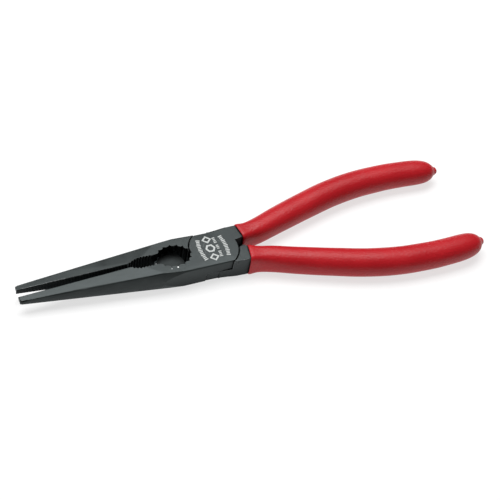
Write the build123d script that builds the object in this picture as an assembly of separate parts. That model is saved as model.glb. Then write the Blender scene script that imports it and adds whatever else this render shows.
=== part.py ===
from build123d import *
import math
import os

# Long-nose pliers with a lap joint, a pipe grip behind the jaws and dip-coated handles.
# Millimetres. +X runs from the tips to the handle ends, +Z is the pivot axis, and the origin is the
# pivot's centre on the underside of the joint. Both halves are drawn closed, then opened to their rest pose.

# Head and joint
head_thickness = 9.8
head_half_width = 8.8
mid_plane = head_thickness / 2
disc_radius = 10.3
disc_clearance = 0.3
layer_gap = 0.06
rim_break = 0.15
edge_radius = 0.8
rest_half_angle = 1.1

# How far cutting tools reach: just past a surface, and right past the part
over = 1.0
reach = 60.0

# Jaws
tip_x = -81.3
tip_cone_radius = 2.6
cone_slope = 0.1087
taper_start_x = -33.0
taper_draft = 0.09
taper_edge_radius = 0.7
long_edge = 40.0
nose_radius = 0.7
nose_bulge = 0.3
jaw_root_x = 0.0
tip_thickness = 2.8
face_gap = 0.05
face_edge_break = 0.4
serration_pitch = 1.2
serration_depth = 0.15
serration_end_x = -37.0

# Fine teeth ahead of the pipe grip
fine_start_x = -36.6
fine_end_x = -25.0
fine_half_gap = 2.3
fine_pitch = 1.29
fine_depth = 0.55
fine_rise_share = 0.5
fine_rise_power = 0.8

# Pipe grip
pipe_centre_x = -17.5
pipe_half_length = 7.6
pipe_half_gap = 5.6
pipe_neck_half_gap = 2.2
pipe_bumps = 7
bump_height = 0.85
web_centre_x = -18.3
web_radius = 5.9
web_bottom = 2.4
web_top = 5.0
web_relief_radius = 6.4
web_relief_top = 5.25

# Rivet
rivet_radius = 3.0
rivet_head_radius = 4.4
rivet_head_depth = 1.5
rivet_head_rim = 0.5
rivet_clearance = 0.05

# Handles, in the closed pose. Each station gives the distance along X, the centre line's distance from
# the middle, the half width, the half thickness and the corner radius.
tang_stations = (
    (0.0, 5.0, 3.9, 4.9, 0.4),
    (6.0, 5.5, 3.6, 4.9, 0.4),
    (13.0, 5.7, 3.55, 4.9, 0.4),
    (18.0, 6.4, 3.5, 4.4, 1.0),
    (24.0, 7.8, 3.8, 4.2, 1.6),
    (34.0, 11.0, 4.3, 4.2, 2.4),
    (52.0, 16.3, 4.7, 4.3, 2.6),
    (64.0, 19.4, 4.8, 4.3, 2.6),
    (77.0, 21.4, 4.8, 4.3, 2.6),
    (91.0, 22.1, 4.6, 4.2, 2.6),
    (101.0, 21.8, 4.4, 4.0, 2.4),
    (111.0, 20.7, 3.6, 3.4, 2.0),
)
grip_stations = (
    (13.5, 5.8, 4.3, 5.5, 1.5),
    (18.0, 6.4, 4.4, 5.45, 2.6),
    (24.0, 7.8, 4.95, 5.5, 4.2),
    (34.0, 11.0, 5.65, 5.6, 5.2),
    (52.0, 16.3, 6.05, 5.75, 5.6),
    (64.0, 19.4, 6.2, 5.8, 5.65),
    (77.0, 21.4, 6.2, 5.75, 5.6),
    (91.0, 22.1, 6.05, 5.65, 5.5),
    (101.0, 21.8, 6.0, 5.55, 5.4),
    (108.0, 21.1, 5.85, 5.4, 5.25),
    (112.5, 20.5, 5.35, 5.0, 4.85),
    (115.3, 20.1, 4.3, 4.1, 3.95),
    (116.9, 19.9, 2.9, 2.8, 2.7),
    (117.7, 19.8, 2.0, 1.95, 1.9),
    (118.4, 19.75, 1.7, 1.65, 1.6),
    (118.9, 19.7, 1.25, 1.2, 1.15),
    (119.2, 19.7, 0.6, 0.6, 0.55),
)
lug_points = ((9.0, 2.6), (10.6, 2.2), (11.9, 1.3), (13.0, 1.5), (14.2, 2.7), (14.2, 4.0), (9.0, 4.0))


def slab(x_low, x_high, y_low, y_high, z_low, z_high):
    """A box given by its limits."""
    centre = ((x_low + x_high) / 2, (y_low + y_high) / 2, (z_low + z_high) / 2)
    return Pos(*centre) * Box(x_high - x_low, y_high - y_low, z_high - z_low)


def disc(radius, z_low, z_high, x=0.0):
    """A cylinder on the Z axis, or on a parallel axis at x."""
    return Pos(x, 0, (z_low + z_high) / 2) * Cylinder(radius, z_high - z_low)


def cone_ring(r_low, r_high, z_low, z_high):
    """A frustum on the Z axis."""
    return Pos(0, 0, (z_low + z_high) / 2) * Cone(r_low, r_high, z_high - z_low)


def prism(points, z_low, z_high):
    """A closed polygon in XY, extruded upwards."""
    outline = make_face(Polyline(*points, close=True))
    return Pos(0, 0, z_low) * extrude(outline, z_high - z_low)


def jaw_blank():
    """Both jaws as one tapering body: a cone with a rounded nose, and a flat top and bottom."""
    root_radius = tip_cone_radius + cone_slope * (jaw_root_x - tip_x)
    nose_x = tip_x + nose_radius
    nose_side = tip_cone_radius + cone_slope * nose_radius
    inset = nose_bulge * nose_radius
    nose_middle = (tip_x + inset, tip_cone_radius - inset)
    front = Line((tip_x, 0), (tip_x, tip_cone_radius - nose_radius))
    nose = ThreePointArc(front @ 1, nose_middle, (nose_x, nose_side))
    rest = Polyline(nose @ 1, (jaw_root_x, root_radius), (jaw_root_x, 0), (tip_x, 0))
    profile = make_face(front.edges() + nose.edges() + rest.edges())
    cone = Pos(0, 0, mid_plane) * revolve(profile, Axis.X)
    return cone & slab(tip_x - over, jaw_root_x, -head_half_width, head_half_width, 0, head_thickness)


def taper_plane():
    """The tapered top of the -Y jaw, which also falls a little towards its outer side."""
    slope = (head_thickness - tip_thickness) / 2 / (taper_start_x - tip_x)
    normal = (-slope, -taper_draft, 1)
    return Plane(origin=(taper_start_x, 0, head_thickness), x_dir=(1, 0, slope), z_dir=normal)


def taper_cutter():
    """Everything above the tapered top."""
    return taper_plane() * Pos(0, 0, reach / 2) * Box(4 * reach, 4 * reach, reach)


def face_edge_cutter():
    """Breaks the edge between the tapered top and the gripping face."""
    depth = face_edge_break + face_gap
    corner = make_face(Polyline((over, over), (-depth - over, over), (over, -depth - over), close=True))
    return taper_plane() * Pos(-reach, 0, 0) * extrude(Plane.YZ * corner, 2 * reach)


def round_taper_edges(jaw):
    """Rounds the long edges between the tapered faces and the cone."""
    middles = [(edge, edge @ 0.5) for edge in jaw.edges() if edge.length > long_edge]
    edges = [edge for edge, middle in middles if middle.Y < -tip_cone_radius and middle.X < taper_start_x]
    return fillet(edges, taper_edge_radius)


def serration_points():
    """Cross teeth on the flat gripping face, from the tip backwards."""
    points = [(tip_x - over, -face_gap)]
    count = int((serration_end_x - tip_x) / serration_pitch)
    for i in range(count):
        x = serration_end_x - (count - i) * serration_pitch
        points.append((x, -face_gap))
        points.append((x + serration_pitch / 2, -face_gap - serration_depth))
    points.append((serration_end_x, -face_gap))
    return points


def fine_curve(x):
    """Depth of the fine-toothed hollow at x."""
    share = (x - fine_start_x) / (fine_end_x - fine_start_x)
    return fine_half_gap * math.sin(math.pi / 2 * min(1.0, share / fine_rise_share)) ** fine_rise_power


def fine_points():
    """V teeth along the fine-toothed hollow."""
    points = [(fine_start_x, -face_gap)]
    count = int((fine_end_x - fine_start_x) / fine_pitch)
    for i in range(count):
        x = fine_start_x + (i + 0.5) * fine_pitch
        points.append((x, -face_gap - fine_curve(x)))
        x += fine_pitch / 2
        points.append((x, -face_gap - max(fine_curve(x) - fine_depth, 0.0)))
    return points


def pipe_point(angle, inset=0.0):
    """A point on the pipe grip's oval, the angle counted from its front end."""
    x = pipe_centre_x - (pipe_half_length - inset) * math.cos(angle)
    return (x, -(pipe_half_gap - inset) * math.sin(angle))


def pipe_edges(start):
    """Round bumps along the pipe grip's oval, with a sharp notch between each two."""
    first_angle = math.asin(-start[1] / pipe_half_gap)
    step = (math.pi - first_angle) / pipe_bumps
    edges = []
    last = start
    for i in range(pipe_bumps):
        angle = first_angle + (i + 1) * step
        corner = pipe_point(angle)
        edges.append(ThreePointArc(last, pipe_point(angle - step / 2, bump_height), corner))
        last = corner
    return edges


def inner_void():
    """Everything on the open side of one jaw's gripping profile."""
    flat = serration_points() + fine_points()
    neck = pipe_point(math.asin(pipe_neck_half_gap / pipe_half_gap))
    flat.append(neck)
    edges = [Polyline(*flat)] + pipe_edges(neck)
    end = edges[-1] @ 1
    edges.append(Polyline((end.X, end.Y), (end.X, reach), (tip_x - over, reach), flat[0]))
    outline = make_face([edge for curve in edges for edge in curve.edges()])
    return Pos(0, 0, -over) * extrude(outline, head_thickness + 2 * over)


def side_edge_cutter():
    """Rounds the long upper edge of the head on its -Y side."""
    y = -head_half_width
    z = head_thickness
    diagonal = edge_radius * (1 - math.sqrt(0.5))
    start = (y, z - edge_radius)
    end = (y + edge_radius, z)
    round_edge = ThreePointArc(start, (y + diagonal, z - diagonal), end)
    outside = Polyline(end, (end[0], z + over), (y - over, z + over), (y - over, start[1]), start)
    face = Plane.YZ * make_face(round_edge.edges() + outside.edges())
    return Pos(-reach / 2, 0, 0) * extrude(face, reach)


def station_section(station, angle):
    """A rounded rectangle across the handle at one station, square to its centre line."""
    x, y, half_width, half_thickness, corner = station
    plane = Plane(
        origin=(x, y, mid_plane),
        x_dir=(-math.sin(angle), math.cos(angle), 0),
        z_dir=(math.cos(angle), math.sin(angle), 0),
    )
    return plane * RectangleRounded(2 * half_width, 2 * half_thickness, corner)


def centre_line_angle(stations, i):
    """The centre line's direction at station i, from its neighbours. It starts straight along X."""
    if i == 0:
        return 0.0
    before = stations[i - 1]
    after = stations[min(i + 1, len(stations) - 1)]
    return math.atan2(after[1] - before[1], after[0] - before[0])


def handle_loft(stations):
    """A smooth body through the stations."""
    return loft([station_section(s, centre_line_angle(stations, i)) for i, s in enumerate(stations)])


def both_sides(tool):
    """A cutting tool together with its mirror image below the mid plane."""
    return tool + mirror(tool, Plane.XY.offset(mid_plane))


def upper_disc():
    """The half's own disc, with a broken rim and flats in line with the head's sides."""
    rim = head_thickness - rim_break
    low = disc(disc_radius, mid_plane + layer_gap / 2, rim)
    top = cone_ring(disc_radius, disc_radius - rim_break, rim, head_thickness)
    width = slab(-reach, reach, -head_half_width, head_half_width, -over, head_thickness + over)
    edge = side_edge_cutter()
    return ((low + top) & width) - edge - mirror(edge, Plane.XZ)


def disc_room():
    """Room in the lower layer for the other half's disc, with a broken rim."""
    radius = disc_radius + disc_clearance
    well = disc(radius, -over, mid_plane + layer_gap / 2)
    flare = cone_ring(radius + over + rim_break, radius, -over, rim_break)
    return well + flare


def bare_half():
    """One forged half, closed: jaw at -Y, disc in the upper layer, handle at +Y."""
    jaw = jaw_blank() & slab(tip_x - over, jaw_root_x, -reach, 0, -over, head_thickness + over)
    jaw = round_taper_edges(jaw - both_sides(taper_cutter()))
    jaw = jaw - both_sides(face_edge_cutter()) - both_sides(side_edge_cutter())
    room = slab(0, 3 * reach, -reach, reach, 0, head_thickness)
    handle = handle_loft(tang_stations) & room
    handle = handle + prism(lug_points, 0, mid_plane - layer_gap / 2)
    half = jaw + handle - disc_room() + upper_disc()
    return half - inner_void()


def turned(shape):
    """The same shape turned over about the tool's long centre line."""
    return Pos(0, 0, mid_plane) * Rot(180, 0, 0) * Pos(0, 0, -mid_plane) * shape


def rivet(clearance):
    """The flush rivet: a shank with a flared end at each face."""
    r = rivet_radius + clearance
    head = rivet_head_radius + clearance
    z_rim = rivet_head_rim + clearance
    z_neck = rivet_head_depth + rivet_head_rim + clearance
    low = disc(head, 0, z_rim) + cone_ring(head, r, z_rim, z_neck)
    return low + turned(low) + disc(r, z_neck, head_thickness - z_neck)


def web():
    """The round half-depth floor in the lower jaw's side of the pipe grip."""
    return disc(web_radius, web_bottom, web_top, web_centre_x)


def web_relief():
    """Room for that floor in the other jaw."""
    return disc(web_relief_radius, -over, web_relief_top, web_centre_x)


def write(shape, node):
    shape.label = node
    export_step(shape, "parts/" + node + ".step")


open_a = Rot(0, 0, rest_half_angle)
open_b = Rot(0, 0, -rest_half_angle)
bare = bare_half()
half_a = bare + web() - rivet(0)
half_b = turned(bare) - web_relief() - rivet(rivet_clearance)
grip_a = handle_loft(grip_stations) - bare

os.makedirs("parts", exist_ok=True)
write(open_a * half_a, "jaw_half_a")
write(open_b * half_b, "jaw_half_b")
write(open_a * rivet(0), "pivot_rivet")
write(open_a * grip_a, "grip_a")
write(open_b * turned(grip_a), "grip_b")
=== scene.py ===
import math

import bmesh
import bpy
from mathutils import Matrix, Vector, noise
from mathutils.bvhtree import BVHTree


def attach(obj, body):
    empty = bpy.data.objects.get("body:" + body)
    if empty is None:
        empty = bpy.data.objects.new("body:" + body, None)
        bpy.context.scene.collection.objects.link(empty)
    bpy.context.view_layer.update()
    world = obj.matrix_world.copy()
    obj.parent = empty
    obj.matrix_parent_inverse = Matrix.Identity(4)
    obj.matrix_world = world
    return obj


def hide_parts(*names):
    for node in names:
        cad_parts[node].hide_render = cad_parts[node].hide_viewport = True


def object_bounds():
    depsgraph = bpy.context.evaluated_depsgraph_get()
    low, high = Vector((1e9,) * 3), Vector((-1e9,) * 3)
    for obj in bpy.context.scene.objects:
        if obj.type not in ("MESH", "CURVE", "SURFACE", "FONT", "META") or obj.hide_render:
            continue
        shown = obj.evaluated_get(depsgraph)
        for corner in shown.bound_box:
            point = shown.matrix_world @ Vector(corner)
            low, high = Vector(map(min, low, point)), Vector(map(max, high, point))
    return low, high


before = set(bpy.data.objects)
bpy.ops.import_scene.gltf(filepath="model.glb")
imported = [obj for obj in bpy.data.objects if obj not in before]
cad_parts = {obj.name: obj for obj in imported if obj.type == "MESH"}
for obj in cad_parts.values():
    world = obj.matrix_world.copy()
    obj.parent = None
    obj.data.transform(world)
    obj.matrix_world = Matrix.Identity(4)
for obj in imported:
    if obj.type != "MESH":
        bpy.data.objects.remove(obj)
cad_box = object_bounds()

MM = 0.001
HEAD_THICKNESS = 9.8
MID_PLANE = HEAD_THICKNESS / 2
REST_HALF_ANGLE = 1.1

# Camera, in degrees and millimetres
CAMERA_AZIMUTH = -31.57
CAMERA_ELEVATION = 48.0
CAMERA_ROLL = 12.84
CAMERA_DISTANCE = 470.0
CAMERA_TARGET = (18.6, 2.5, 0.0)
FOCAL_PIXELS = 1114.4
IMAGE_PIXELS = 500
SENSOR_MM = 36.0

# Dipped grip, closed pose, in millimetres: x, centre line's y, half width, half thickness, squareness
GRIP_STATIONS = (
    (13.5, 5.75, 4.1, 5.35, 4.4),
    (18.0, 6.4, 4.35, 5.4, 3.2),
    (24.0, 7.8, 4.95, 5.5, 2.5),
    (34.0, 11.0, 5.65, 5.6, 2.2),
    (52.0, 16.3, 6.05, 5.75, 2.1),
    (64.0, 19.4, 6.2, 5.8, 2.1),
    (77.0, 21.4, 6.2, 5.75, 2.1),
    (91.0, 22.1, 6.05, 5.65, 2.1),
    (101.0, 21.8, 6.0, 5.55, 2.1),
    (108.0, 21.1, 5.85, 5.4, 2.1),
    (112.5, 20.5, 5.3, 4.95, 2.05),
    (115.3, 20.1, 4.2, 4.0, 2.0),
    (116.9, 19.9, 2.8, 2.7, 2.0),
    (117.7, 19.8, 2.05, 2.0, 2.0),
    (118.4, 19.75, 1.8, 1.75, 2.0),
    (118.95, 19.7, 1.3, 1.25, 2.0),
    (119.15, 19.7, 0.7, 0.7, 2.0),
)
# Steel tang inside the grip, with the same measures
TANG_STATIONS = (
    (13.0, 5.75, 3.6, 4.9, 9.0),
    (18.0, 6.4, 3.5, 4.4, 6.0),
    (24.0, 7.8, 3.8, 4.2, 4.0),
    (34.0, 11.0, 4.3, 4.2, 3.5),
    (52.0, 16.3, 4.7, 4.3, 3.5),
    (64.0, 19.4, 4.8, 4.3, 3.5),
    (77.0, 21.4, 4.8, 4.3, 3.5),
    (91.0, 22.1, 4.6, 4.2, 3.5),
    (101.0, 21.8, 4.4, 4.0, 3.5),
    (111.0, 20.7, 3.6, 3.4, 3.5),
)
GRIP_AROUND = 72
RING_STEP = 1.1
# The rolled front lip: x, and how far the surface stands out from the stations there
LIP = (
    (13.75, -0.32),
    (13.46, -0.22),
    (13.38, 0.02),
    (13.5, 0.24),
    (13.9, 0.38),
    (14.6, 0.38),
    (15.7, 0.2),
    (17.2, 0.03),
)
# Where the cavity and the plain part of the shell start, and where each closes
CAVITY_START = 15.0
CAVITY_END = 111.4
SHELL_START = 18.5
SHELL_END = 119.2
# Unevenness of the shell: its height, its features per millimetre, and how far it is sunk below the shell
UNEVEN_HEIGHT = 0.12
UNEVEN_SCALE = 0.09
UNEVEN_SINK = 0.6
# A step along X that is short enough to give a direction
SHORT_STEP = 0.05


def make_camera():
    """A camera at the given azimuth, elevation and roll round the target."""
    azimuth = math.radians(CAMERA_AZIMUTH)
    elevation = math.radians(CAMERA_ELEVATION)
    roll = math.radians(CAMERA_ROLL)
    level = math.cos(elevation)
    back = Vector((math.sin(azimuth) * level, -math.cos(azimuth) * level, math.sin(elevation)))
    right = Vector((math.cos(azimuth), math.sin(azimuth), 0.0))
    up = right.cross(-back)
    image_right = right * math.cos(roll) + up * math.sin(roll)
    image_up = up * math.cos(roll) - right * math.sin(roll)
    place = (Vector(CAMERA_TARGET) + back * CAMERA_DISTANCE) * MM
    data = bpy.data.cameras.new("camera")
    data.sensor_width = SENSOR_MM
    data.lens = FOCAL_PIXELS * SENSOR_MM / IMAGE_PIXELS
    data.clip_start = 0.01
    camera = bpy.data.objects.new("camera", data)
    turn = Matrix((image_right, image_up, back)).transposed().to_4x4()
    camera.matrix_world = Matrix.Translation(place) @ turn
    bpy.context.scene.collection.objects.link(camera)
    bpy.context.scene.camera = camera


def add_object(name, bm, material):
    """A mesh object from a bmesh, smooth shaded except at edges marked sharp, in the scene."""
    mesh = bpy.data.meshes.new(name)
    for face in bm.faces:
        face.smooth = True
    bm.to_mesh(mesh)
    bm.free()
    mesh.materials.append(material)
    obj = bpy.data.objects.new(name, mesh)
    bpy.context.scene.collection.objects.link(obj)
    return obj


# ---- materials ----


class Recipe:
    """A node material being put together."""

    def __init__(self, name):
        self.material = bpy.data.materials.new(name)
        self.material.use_nodes = True
        self.tree = self.material.node_tree
        self.shader = self.tree.nodes["Principled BSDF"]
        self.coords = self.tree.nodes.new("ShaderNodeTexCoord").outputs["Object"]

    def node(self, kind, **settings):
        node = self.tree.nodes.new(kind)
        for name, value in settings.items():
            setattr(node, name, value)
        return node

    def link(self, out, into):
        self.tree.links.new(out, into)

    def set(self, **values):
        """Constant values on the shader's own sockets."""
        for name, value in values.items():
            self.shader.inputs[name.replace("_", " ")].default_value = value

    def noise(self, scale, detail=3.0, stretch=(1, 1, 1)):
        """Noise of that many features per metre, from 0 to 1."""
        mapping = self.node("ShaderNodeMapping")
        mapping.inputs["Scale"].default_value = stretch
        texture = self.node("ShaderNodeTexNoise")
        texture.inputs["Scale"].default_value = scale
        texture.inputs["Detail"].default_value = detail
        self.link(self.coords, mapping.inputs["Vector"])
        self.link(mapping.outputs["Vector"], texture.inputs["Vector"])
        return texture.outputs["Fac"]

    def ramp(self, value, low, high, out_low=0.0, out_high=1.0):
        """A value carried from one range to another, and kept inside it."""
        node = self.node("ShaderNodeMapRange")
        limits = (low, high, out_low, out_high)
        for socket, limit in zip(("From Min", "From Max", "To Min", "To Max"), limits):
            node.inputs[socket].default_value = limit
        self.link(value, node.inputs["Value"])
        return node.outputs["Result"]

    def math(self, operation, a, b):
        """A math operation on two values, each a number or another node's output."""
        node = self.node("ShaderNodeMath", operation=operation)
        for socket, value in zip(node.inputs, (a, b)):
            if isinstance(value, (int, float)):
                socket.default_value = value
            else:
                self.link(value, socket)
        return node.outputs["Value"]

    def mix(self, share, a, b):
        """Colour a turning into colour b as share goes from 0 to 1."""
        node = self.node("ShaderNodeMix", data_type="RGBA")
        self.link(share, node.inputs["Factor"])
        for socket, value in zip((node.inputs[6], node.inputs[7]), (a, b)):
            if isinstance(value, tuple):
                socket.default_value = (*value, 1.0)
            else:
                self.link(value, socket)
        return node.outputs[2]

    def bump(self, height, strength, depth, under=None):
        """A bump of that depth in metres, on top of another one."""
        node = self.node("ShaderNodeBump")
        node.inputs["Strength"].default_value = strength
        node.inputs["Distance"].default_value = depth
        self.link(height, node.inputs["Height"])
        if under is not None:
            self.link(under, node.inputs["Normal"])
        return node.outputs["Normal"]

    def edge_mask(self, radius, low, high):
        """1 on sharp convex and concave edges, 0 on smooth ground."""
        bevel = self.node("ShaderNodeBevel", samples=4)
        bevel.inputs["Radius"].default_value = radius
        dot = self.node("ShaderNodeVectorMath", operation="DOT_PRODUCT")
        self.link(bevel.outputs["Normal"], dot.inputs[0])
        self.link(self.node("ShaderNodeNewGeometry").outputs["Normal"], dot.inputs[1])
        return self.ramp(dot.outputs["Value"], 1.0 - low, 1.0 - high)

    def openness(self, reach, low, high):
        """0 in a crevice narrower than the reach, 1 in the open."""
        sky = self.node("ShaderNodeAmbientOcclusion", samples=6)
        sky.inputs["Distance"].default_value = reach
        return self.ramp(sky.outputs["AO"], low, high)

    def near(self, point, radius):
        """1 round a point in millimetres, falling to 0 at the radius."""
        distance = self.node("ShaderNodeVectorMath", operation="DISTANCE")
        distance.inputs[1].default_value = Vector(point) * MM
        self.link(self.coords, distance.inputs[0])
        return self.ramp(distance.outputs["Value"], radius * MM, radius * MM * SPOT_CORE)

    def finish(self, colour, roughness, normal):
        """The finished material, with these three linked to its shader."""
        self.link(colour, self.shader.inputs["Base Color"])
        self.link(roughness, self.shader.inputs["Roughness"])
        self.link(normal, self.shader.inputs["Normal"])
        return self.material


STEEL_DARK = (0.0135, 0.0158, 0.0154)
STEEL_PALE = (0.026, 0.030, 0.029)
STEEL_BARE = (0.34, 0.35, 0.35)
# Near black: painted shade for the steel's crevices
STEEL_PAINTED_SHADE = (0.004, 0.004, 0.004)
STEEL_TINT = (0.86, 0.97, 1.0, 1.0)
VINYL_DEEP = (0.40, 0.008, 0.013)
VINYL_BRIGHT = (0.47, 0.010, 0.016)
VINYL_SPECK = (0.35, 0.008, 0.012)
# Dark red: painted shade for the vinyl's crevices
VINYL_PAINTED_SHADE = (0.03, 0.002, 0.003)
INK_PALE = (0.52, 0.54, 0.53)
INK_PIT = (0.16, 0.17, 0.17)
PAPER_DARK = (0.29, 0.29, 0.29)
PAPER_PALE = (0.31, 0.31, 0.31)
PAPER_GLOW = 0.7
WHITE = (1.0, 1.0, 1.0, 1.0)
# Painted glints: small white spots on the pipe grip's edge: place and radius in millimetres, and the share
# at full strength
GLINT_COLOUR = (0.95, 0.95, 0.95)
GLINTS = (((-17.7, -6.1, 9.6), 0.42), ((-20.4, -6.3, 9.6), 0.3))
SPOT_CORE = 0.6
# Widths in metres of worn edges and of the crevices that get painted shade
WORN_EDGE = 0.0004
STEEL_CREVICE = 0.012
VINYL_CREVICE = 0.0015


def oxide_steel(name, glints=()):
    """Black-oxide steel, finely ground along its length, with worn edges, painted shade in crevices and
    painted glints.
    """
    r = Recipe(name)
    r.set(Metallic=0.35, Specular_Tint=STEEL_TINT)
    mottle = r.noise(140.0, 4.0)
    grain = r.noise(2600.0, 3.0)
    grinding = r.noise(1.0, 2.0, (160, 5200, 5200))
    colour = r.mix(r.ramp(mottle, 0.3, 0.7), STEEL_DARK, STEEL_PALE)
    colour = r.mix(r.ramp(grain, 0.45, 0.75, 0.0, 0.6), colour, STEEL_PALE)
    scuff = r.ramp(r.noise(620.0, 5.0), 0.42, 0.68)
    worn_share = r.math("ADD", r.math("MULTIPLY", scuff, 0.55), 0.12)
    wear = r.math("MULTIPLY", r.edge_mask(WORN_EDGE, 0.03, 0.3), worn_share)
    colour = r.mix(wear, colour, STEEL_BARE)
    # Painted shade: colour darkened and reflections dimmed in crevices narrower than STEEL_CREVICE
    openness = r.openness(STEEL_CREVICE, 0.3, 0.95)
    colour = r.mix(openness, STEEL_PAINTED_SHADE, colour)
    r.link(r.math("MULTIPLY", openness, 0.45), r.shader.inputs["Specular IOR Level"])
    rough = r.math("ADD", r.ramp(grain, 0.3, 0.7, 0.34, 0.48), r.ramp(mottle, 0.3, 0.7, -0.04, 0.05))
    rough = r.math("SUBTRACT", rough, r.math("MULTIPLY", wear, 0.12))
    # Painted glints: white spots mixed into the colour round each point
    for point, radius in glints:
        colour = r.mix(r.near(point, radius), colour, GLINT_COLOUR)
    normal = r.bump(grinding, 0.35, 0.00001)
    normal = r.bump(grain, 0.5, 0.00002, normal)
    return r.finish(colour, rough, normal)


def dipped_vinyl(name):
    """Satin red vinyl with a faint orange peel, and painted shade in its crevices, such as where it meets
    the steel.
    """
    r = Recipe(name)
    r.set(Specular_IOR_Level=0.29)
    cloud = r.noise(70.0, 3.0)
    peel = r.noise(1300.0, 2.0)
    fine = r.noise(3800.0, 3.0)
    colour = r.mix(r.ramp(cloud, 0.3, 0.7), VINYL_DEEP, VINYL_BRIGHT)
    colour = r.mix(r.ramp(fine, 0.5, 0.8, 0.0, 0.25), colour, VINYL_SPECK)
    # Painted shade: colour darkened in crevices narrower than VINYL_CREVICE
    colour = r.mix(r.openness(VINYL_CREVICE, 0.35, 0.8), VINYL_PAINTED_SHADE, colour)
    rough = r.math("ADD", r.ramp(fine, 0.3, 0.7, 0.34, 0.40), r.ramp(cloud, 0.3, 0.7, -0.03, 0.03))
    normal = r.bump(peel, 0.9, 0.0002)
    normal = r.bump(fine, 0.25, 0.00002, normal)
    return r.finish(colour, rough, normal)


def printed_ink(name):
    """Pale screen-printed ink with small worn pits."""
    r = Recipe(name)
    r.set(Specular_IOR_Level=0.3)
    pits = r.ramp(r.noise(3600.0, 4.0), 0.56, 0.70)
    colour = r.mix(pits, INK_PALE, INK_PIT)
    rough = r.ramp(r.noise(1500.0), 0.3, 0.7, 0.55, 0.7)
    return r.finish(colour, rough, r.bump(pits, 0.3, 0.00001))


def floor_paper(name):
    """Plain pale paper, lit partly from inside so that shadows on it stay pale."""
    r = Recipe(name)
    r.set(Specular_IOR_Level=0.1, Emission_Color=WHITE, Emission_Strength=PAPER_GLOW)
    tone = r.ramp(r.noise(30.0), 0.3, 0.7)
    colour = r.mix(tone, PAPER_DARK, PAPER_PALE)
    return r.finish(colour, r.ramp(tone, 0.0, 1.0, 0.9, 0.95), r.bump(r.noise(2500.0), 0.1, 0.00001))


# ---- dipped grips ----


def slopes(stations, column):
    """The slope of one measure at each station."""
    last = len(stations) - 1
    result = []
    for i in range(len(stations)):
        before, after = stations[max(i - 1, 0)], stations[min(i + 1, last)]
        result.append((after[column] - before[column]) / (after[0] - before[0]))
    return result


def measures_at(stations, tangents, x):
    """Every measure at x, on smooth curves through the stations."""
    i = 0
    while i < len(stations) - 2 and stations[i + 1][0] <= x:
        i += 1
    span = stations[i + 1][0] - stations[i][0]
    t = (x - stations[i][0]) / span
    result = []
    for column, tangent in enumerate(tangents, start=1):
        a, b = stations[i][column], stations[i + 1][column]
        value = (2 * t**3 - 3 * t**2 + 1) * a + (3 * t**2 - 2 * t**3) * b
        value += (t**3 - 2 * t**2 + t) * span * tangent[i] + (t**3 - t**2) * span * tangent[i + 1]
        result.append(value)
    return result


def section_ring(bm, stations, tangents, x, grow=0.0, ripple=0.0):
    """One ring of vertices square to the centre line at x."""
    y, half_width, half_thickness, squareness = measures_at(stations, tangents, x)
    ahead = measures_at(stations, tangents, x + SHORT_STEP)[0]
    angle = math.atan2(ahead - y, SHORT_STEP)
    power = 2.0 / squareness
    ring = []
    for k in range(GRIP_AROUND):
        turn = 2 * math.pi * k / GRIP_AROUND
        c, s = math.cos(turn), math.sin(turn)
        across = math.copysign(abs(c) ** power, c) * (half_width + grow)
        height = math.copysign(abs(s) ** power, s) * (half_thickness + grow)
        point = Vector((x - across * math.sin(angle), y + across * math.cos(angle), MID_PLANE + height))
        if ripple:
            wave = noise.noise(point * UNEVEN_SCALE) * ripple
            point += Vector((0, c, s)) * (wave - ripple * UNEVEN_SINK)
        ring.append(bm.verts.new(point * MM))
    return ring


def bridge(bm, a, b):
    """Quads between two rings."""
    count = len(a)
    for k in range(count):
        n = (k + 1) % count
        bm.faces.new((a[k], a[n], b[n], b[k]))


def close_ring(bm, ring, x, stations, tangents):
    """A fan from the ring to a point on the centre line."""
    y = measures_at(stations, tangents, x)[0]
    tip = bm.verts.new(Vector((x, y, MID_PLANE)) * MM)
    count = len(ring)
    for k in range(count):
        bm.faces.new((ring[k], ring[(k + 1) % count], tip))


def ring_places(stations, start):
    """Ring positions from start to the last station, closer where stations are close."""
    places = []
    for a, b in zip(stations, stations[1:]):
        steps = max(3, math.ceil((b[0] - a[0]) / RING_STEP))
        places += [a[0] + (b[0] - a[0]) * i / steps for i in range(steps)]
    places.append(stations[-1][0])
    return [x for x in places if x > start]


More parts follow.
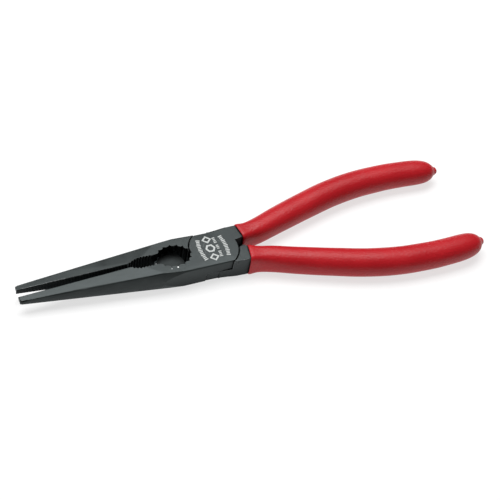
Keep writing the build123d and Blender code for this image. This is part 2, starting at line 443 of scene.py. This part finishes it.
def make_grip(name, material, body, turned):
    """One dipped sleeve: rolled lip, bowed body, drip nub, and the cavity that the tang fills."""
    outer = [slopes(GRIP_STATIONS, column) for column in range(1, 5)]
    inner = [slopes(TANG_STATIONS, column) for column in range(1, 5)]
    bm = bmesh.new()
    cavity = [section_ring(bm, TANG_STATIONS, inner, x) for x in ring_places(TANG_STATIONS, CAVITY_START)]
    shell = [section_ring(bm, GRIP_STATIONS, outer, x, grow) for x, grow in LIP]
    for x in ring_places(GRIP_STATIONS, SHELL_START):
        shell.append(section_ring(bm, GRIP_STATIONS, outer, x, 0, UNEVEN_HEIGHT))
    close_ring(bm, cavity[-1], CAVITY_END, TANG_STATIONS, inner)
    close_ring(bm, shell[-1], SHELL_END, GRIP_STATIONS, outer)
    rings = cavity[::-1] + shell
    for a, b in zip(rings, rings[1:]):
        bridge(bm, a, b)
    place = Matrix.Rotation(math.radians(REST_HALF_ANGLE), 4, "Z")
    if turned:
        flip = Matrix.Translation((0, 0, HEAD_THICKNESS * MM)) @ Matrix.Rotation(math.pi, 4, "X")
        place = Matrix.Rotation(math.radians(-REST_HALF_ANGLE), 4, "Z") @ flip
    bmesh.ops.transform(bm, matrix=place, verts=bm.verts)
    bmesh.ops.recalc_face_normals(bm, faces=bm.faces)
    grip = add_object(name, bm, material)
    smoother = grip.modifiers.new("smooth", "SUBSURF")
    smoother.levels = 1
    smoother.render_levels = 1
    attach(grip, body)
    return grip


# ---- forged halves ----

# Millimetres and degrees: the rounding of sharp edges, the shortest edge that is kept, how far apart merged
# vertices may be, and the grid on which two edges count as the same
EDGE_RADIUS = 0.1
SHORTEST_EDGE = 0.12
MERGE_DISTANCE = 0.002
SAME_PLACE = 0.01
# Faces closer than FLAT_ANGLE become one, normals more than CREASE_ANGLE apart stay apart, and edges over
# SHARP_ANGLE are rounded
FLAT_ANGLE = 0.2
CREASE_ANGLE = 3.0
SHARP_ANGLE = 24.0


def edge_key(a, b):
    """The same key for an edge whichever way round it is given."""
    return tuple(sorted(tuple(round(value / MM / SAME_PLACE) for value in point) for point in (a, b)))


def creased_edges(mesh):
    """Keys of the edges at which the CAD surface's own normals turn."""
    normals = {}
    for face in mesh.polygons:
        corners = list(face.loop_indices)
        for here, there in zip(corners, corners[1:] + corners[:1]):
            ends = [mesh.vertices[mesh.loops[corner].vertex_index].co for corner in (here, there)]
            middle = mesh.corner_normals[here].vector + mesh.corner_normals[there].vector
            normals.setdefault(edge_key(*ends), []).append(middle)
    turned = math.radians(CREASE_ANGLE)
    return {key for key, pair in normals.items() if len(pair) == 2 and pair[0].angle(pair[1], 0) > turned}


def round_edges(bm):
    """Rounds every sharp edge, and keeps the result on the surface where small edges crowd together."""
    surface = BVHTree.FromBMesh(bm)
    sharp = [edge for edge in bm.edges if edge.calc_face_angle(0) > math.radians(SHARP_ANGLE)]
    bmesh.ops.bevel(
        bm, geom=sharp, offset=EDGE_RADIUS * MM, segments=2, profile=0.5, affect="EDGES", clamp_overlap=False
    )
    for vert in bm.verts:
        place, _, _, distance = surface.find_nearest(vert.co)
        if distance > EDGE_RADIUS * MM:
            vert.co = place


def make_forging(name, node, material, body):
    """A CAD half with every sharp edge slightly rounded, as tumbling leaves it."""
    creased = creased_edges(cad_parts[node].data)
    bm = bmesh.new()
    bm.from_mesh(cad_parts[node].data)
    bmesh.ops.remove_doubles(bm, verts=bm.verts, dist=MERGE_DISTANCE * MM)
    for edge in bm.edges:
        edge.smooth = edge_key(edge.verts[0].co, edge.verts[1].co) not in creased
    bmesh.ops.dissolve_degenerate(bm, edges=bm.edges, dist=SHORTEST_EDGE * MM)
    bmesh.ops.dissolve_limit(
        bm, angle_limit=math.radians(FLAT_ANGLE), verts=bm.verts, edges=bm.edges, delimit={"SHARP"}
    )
    round_edges(bm)
    forging = add_object(name, bm, material)
    weighted = forging.modifiers.new("normals", "WEIGHTED_NORMAL")
    weighted.keep_sharp = True
    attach(forging, body)
    return forging


# ---- printed mark ----

# Millimetres. The nut outline and the diamonds beside it are in line across the joint.
INK_THICKNESS = 0.02
DEVICE_X = -1.6
NUT_RADIUS = 2.2
NUT_STROKE = 0.85
DIAMOND_Y = 4.75
DIAMOND_RADII = (2.15, 2.0)
DIAMOND_STROKE = 0.92
# Rows of ticks, each on an arc: the arc's centre on X, its radius with a sign for the side, the number of
# ticks, their pitch, a tick's width and height, and the ticks left out
TICK_ROWS = (
    (14.0, -20.0, 13, 0.86, (0.52, 1.4), ()),
    (-58.4, 60.0, 13, 0.82, (0.46, 1.05), (4, 8)),
    (-14.9, 20.0, 13, 0.86, (0.52, 1.4), ()),
)
TALL_TICK_EVERY = 3
TALL_TICK_SHARE = 1.25


def ink_plate(bm, points):
    """A thin closed plate with the given outline, on the joint's upper face."""
    low = [bm.verts.new(Vector((x, y, HEAD_THICKNESS - INK_THICKNESS / 2)) * MM) for x, y in points]
    high = [bm.verts.new(Vector((x, y, HEAD_THICKNESS + INK_THICKNESS)) * MM) for x, y in points]
    bm.faces.new(high)
    bm.faces.new(low[::-1])
    bridge(bm, low, high)


def ink_ring(bm, centre, sides, radii, stroke):
    """A polygon outline of the given stroke, with a corner on +X."""
    cx, cy = centre
    rx, ry = radii
    for k in range(sides):
        a = 2 * math.pi * k / sides
        b = 2 * math.pi * (k + 1) / sides
        outer = [(cx + rx * math.cos(t), cy + ry * math.sin(t)) for t in (a, b)]
        inner = [(cx + (rx - stroke) * math.cos(t), cy + (ry - stroke) * math.sin(t)) for t in (b, a)]
        ink_plate(bm, outer + inner)


def ink_ticks(bm, centre_x, radius, count, pitch, size, skip):
    """Ticks side by side along an arc round (centre_x, 0)."""
    width, height = size
    for k in range(count):
        if k in skip:
            continue
        along = (k - (count - 1) / 2) * pitch
        angle = along / abs(radius)
        tall = height if k % TALL_TICK_EVERY else height * TALL_TICK_SHARE
        corners = []
        for across, aside in ((-1, -1), (1, -1), (1, 1), (-1, 1)):
            r = radius + across * tall / 2
            t = angle + aside * width / 2 / abs(radius)
            corners.append((centre_x + r * math.cos(t), abs(r) * math.sin(t)))
        ink_plate(bm, corners)


def make_mark(material):
    """A plain printed device: a nut outline between two diamonds, and rows of scale ticks."""
    bm = bmesh.new()
    ink_ring(bm, (DEVICE_X, 0.0), 6, (NUT_RADIUS, NUT_RADIUS), NUT_STROKE)
    for side in (-1, 1):
        ink_ring(bm, (DEVICE_X, side * DIAMOND_Y), 4, DIAMOND_RADII, DIAMOND_STROKE)
    for row in TICK_ROWS:
        ink_ticks(bm, *row)
    bmesh.ops.transform(bm, matrix=Matrix.Rotation(math.radians(REST_HALF_ANGLE), 4, "Z"), verts=bm.verts)
    bmesh.ops.recalc_face_normals(bm, faces=bm.faces)
    mark = add_object("printed_mark", bm, material)
    mark.data.shade_flat()
    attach(mark, "half_a")


# ---- studio ----


# Metres and watts
FLOOR_HALF_SIZE = 3
ROOM_LIGHT = 0.09
SOFTBOX_PLACE = (-0.02, 0.25, 0.72)
SOFTBOX_TARGET = (0.0, 0.02, 0.0)
SOFTBOX_SIZE = (0.95, 0.5)
SOFTBOX_POWER = 9.6


def add_softbox(name, place, target, size, power):
    """A rectangular softbox at a place in metres, facing the target."""
    data = bpy.data.lights.new(name, "AREA")
    data.shape = "RECTANGLE"
    data.size, data.size_y = size
    data.energy = power
    light = bpy.data.objects.new(name, data)
    light.location = place
    light.rotation_euler = (Vector(target) - Vector(place)).to_track_quat("-Z", "Y").to_euler()
    bpy.context.scene.collection.objects.link(light)


def make_studio():
    """A pale floor, a dim room and one large softbox overhead."""
    bm = bmesh.new()
    bmesh.ops.create_grid(bm, x_segments=2, y_segments=2, size=FLOOR_HALF_SIZE)
    bmesh.ops.translate(bm, verts=bm.verts, vec=(0, 0, cad_box[0].z))
    floor = add_object("floor", bm, floor_paper("floor_paper"))
    world = bpy.data.worlds.new("studio")
    bpy.context.scene.world = world
    world.use_nodes = True
    background = world.node_tree.nodes["Background"]
    background.inputs["Color"].default_value = WHITE
    background.inputs["Strength"].default_value = ROOM_LIGHT
    add_softbox("softbox_top", SOFTBOX_PLACE, SOFTBOX_TARGET, SOFTBOX_SIZE, SOFTBOX_POWER)
    bpy.context.scene.view_settings.view_transform = "Standard"


make_camera()

steel_a = oxide_steel("oxide_steel_a", GLINTS)
steel_b = oxide_steel("oxide_steel_b")
vinyl = dipped_vinyl("dipped_vinyl")
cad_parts["pivot_rivet"].data.materials.clear()
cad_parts["pivot_rivet"].data.materials.append(steel_b)

for letter, steel in (("a", steel_a), ("b", steel_b)):
    body = "half_" + letter
    forging = make_forging("forged_half_" + letter, "jaw_half_" + letter, steel, body)
    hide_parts("jaw_half_" + letter)
    grip = make_grip("dipped_grip_" + letter, vinyl, body, letter == "b")
    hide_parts("grip_" + letter)

make_mark(printed_ink("printed_ink"))
make_studio()
